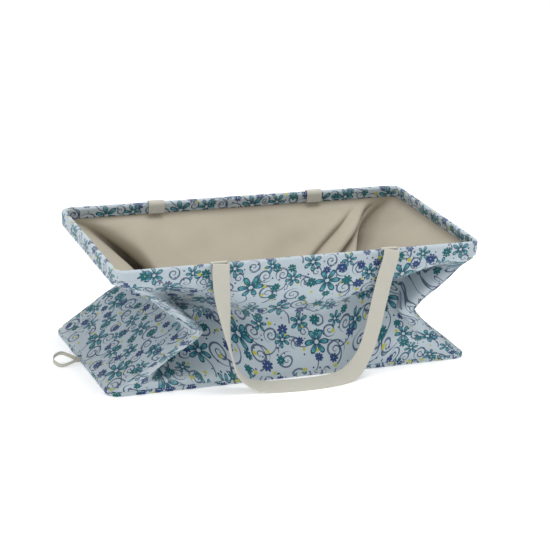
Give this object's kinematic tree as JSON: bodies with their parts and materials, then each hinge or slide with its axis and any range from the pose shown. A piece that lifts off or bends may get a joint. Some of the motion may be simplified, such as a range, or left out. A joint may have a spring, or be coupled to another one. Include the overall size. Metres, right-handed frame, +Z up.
{
  "type": "collapsible knitting bag",
  "caption": "Rectangular fabric craft tote with a wire rim, stiff base, inward-folding lined walls, webbing handles and a small pull loop, half collapsed.",
  "frame": {"origin": "centre of the underside of the base, on the surface that the bag stands on", "axes": "+X along the bag's length, towards its right end; +Y to the back; +Z up out of the mouth"},
  "size_m": [0.6024, 0.384, 0.1972],
  "materials": {
    "printed_fabric": "matt woven cloth with a printed scroll and flower pattern",
    "lining_fabric": "matt plain-woven taupe lining",
    "webbing": "cream cotton herringbone webbing",
    "wire_steel": "drawn spring steel",
    "base_board": "grey fibreboard"
  },
  "bodies": {
    "base": {"bottom_board": "base_board", "bottom_cover": "printed_fabric", "bottom_lining": "lining_fabric", "base_binding": "printed_fabric"},
    "rim": {"rim_wire_left": "wire_steel", "rim_wire_right": "wire_steel", "wire_sleeve_front": "wire_steel", "wire_sleeve_back": "wire_steel", "rim_hem_front": "printed_fabric", "rim_hem_back": "printed_fabric", "rim_hem_left": "printed_fabric", "rim_hem_right": "printed_fabric", "handle_tab_front_left": "webbing", "handle_tab_front_right": "webbing", "handle_tab_back_left": "webbing", "handle_tab_back_right": "webbing", "corner_seam_front_left": "printed_fabric", "corner_seam_front_right": "printed_fabric", "corner_seam_back_left": "printed_fabric", "corner_seam_back_right": "printed_fabric"},
    "front_lower_wall": {"front_lower_panel": "printed_fabric", "front_lower_lining": "lining_fabric"},
    "front_upper_wall": {"front_upper_panel": "printed_fabric", "front_upper_lining": "lining_fabric"},
    "back_lower_wall": {"back_lower_panel": "printed_fabric", "back_lower_lining": "lining_fabric"},
    "back_upper_wall": {"back_upper_panel": "printed_fabric", "back_upper_lining": "lining_fabric"},
    "left_lower_wall": {"left_lower_panel": "printed_fabric", "left_lower_lining": "lining_fabric"},
    "left_upper_wall": {"left_upper_panel": "printed_fabric", "left_upper_lining": "lining_fabric"},
    "right_lower_wall": {"right_lower_panel": "printed_fabric", "right_lower_lining": "lining_fabric"},
    "right_upper_wall": {"right_upper_panel": "printed_fabric", "right_upper_lining": "lining_fabric"},
    "front_handle": {"front_handle_folds": "webbing", "front_handle_strap": "webbing"},
    "back_handle": {"back_handle_folds": "webbing", "back_handle_strap": "webbing"},
    "pull_loop": {"pull_loop": "webbing"}
  },
  "joints": [
    {"name": "collapse", "type": "slide", "parent": "base", "child": "rim", "axis": [0, 0, 1], "range_m": [-0.115, 0.05], "deforming": ["corner_seam_front_left", "corner_seam_front_right", "corner_seam_back_left", "corner_seam_back_right"]},
    {"name": "front_lower_fold", "type": "hinge", "parent": "base", "child": "front_lower_wall", "pos_m": [0, -0.137, 0.008], "axis": [1, 0, 0], "range_deg": [-29, 13]},
    {"name": "front_upper_fold", "type": "hinge", "parent": "rim", "child": "front_upper_wall", "pos_m": [0, -0.155, 0.171], "axis": [-1, 0, 0], "range_deg": [-29, 13]},
    {"name": "back_lower_fold", "type": "hinge", "parent": "base", "child": "back_lower_wall", "pos_m": [0, 0.137, 0.008], "axis": [-1, 0, 0], "range_deg": [-29, 13]},
    {"name": "back_upper_fold", "type": "hinge", "parent": "rim", "child": "back_upper_wall", "pos_m": [0, 0.119, 0.171], "axis": [1, 0, 0], "range_deg": [-29, 13]},
    {"name": "left_lower_fold", "type": "hinge", "parent": "base", "child": "left_lower_wall", "pos_m": [-0.277, 0, 0.008], "axis": [0, -1, 0], "range_deg": [-29, 13]},
    {"name": "left_upper_fold", "type": "hinge", "parent": "rim", "child": "left_upper_wall", "pos_m": [-0.277, -0.018, 0.171], "axis": [0, 1, 0], "range_deg": [-29, 13]},
    {"name": "right_lower_fold", "type": "hinge", "parent": "base", "child": "right_lower_wall", "pos_m": [0.277, 0, 0.008], "axis": [0, 1, 0], "range_deg": [-29, 13]},
    {"name": "right_upper_fold", "type": "hinge", "parent": "rim", "child": "right_upper_wall", "pos_m": [0.277, -0.018, 0.171], "axis": [0, -1, 0], "range_deg": [-29, 13]},
    {"name": "front_handle_swing", "type": "hinge", "parent": "rim", "child": "front_handle", "pos_m": [0, -0.164, 0.191], "axis": [-1, 0, 0], "range_deg": [0, 180]},
    {"name": "back_handle_swing", "type": "hinge", "parent": "rim", "child": "back_handle", "pos_m": [0, 0.128, 0.191], "axis": [1, 0, 0], "range_deg": [0, 180]},
    {"name": "pull_loop_swing", "type": "hinge", "parent": "base", "child": "pull_loop", "pos_m": [-0.2806, 0, 0.0108], "axis": [0, 1, 0], "range_deg": [0, 95]}
  ],
  "couplings": [
    {"joint": "front_lower_fold", "follows": "collapse", "rad_per_m": 4.3},
    {"joint": "front_upper_fold", "follows": "collapse", "rad_per_m": 4.3},
    {"joint": "back_lower_fold", "follows": "collapse", "rad_per_m": 4.3},
    {"joint": "back_upper_fold", "follows": "collapse", "rad_per_m": 4.3},
    {"joint": "left_lower_fold", "follows": "collapse", "rad_per_m": 4.3},
    {"joint": "left_upper_fold", "follows": "collapse", "rad_per_m": 4.3},
    {"joint": "right_lower_fold", "follows": "collapse", "rad_per_m": 4.3},
    {"joint": "right_upper_fold", "follows": "collapse", "rad_per_m": 4.3}
  ]
}
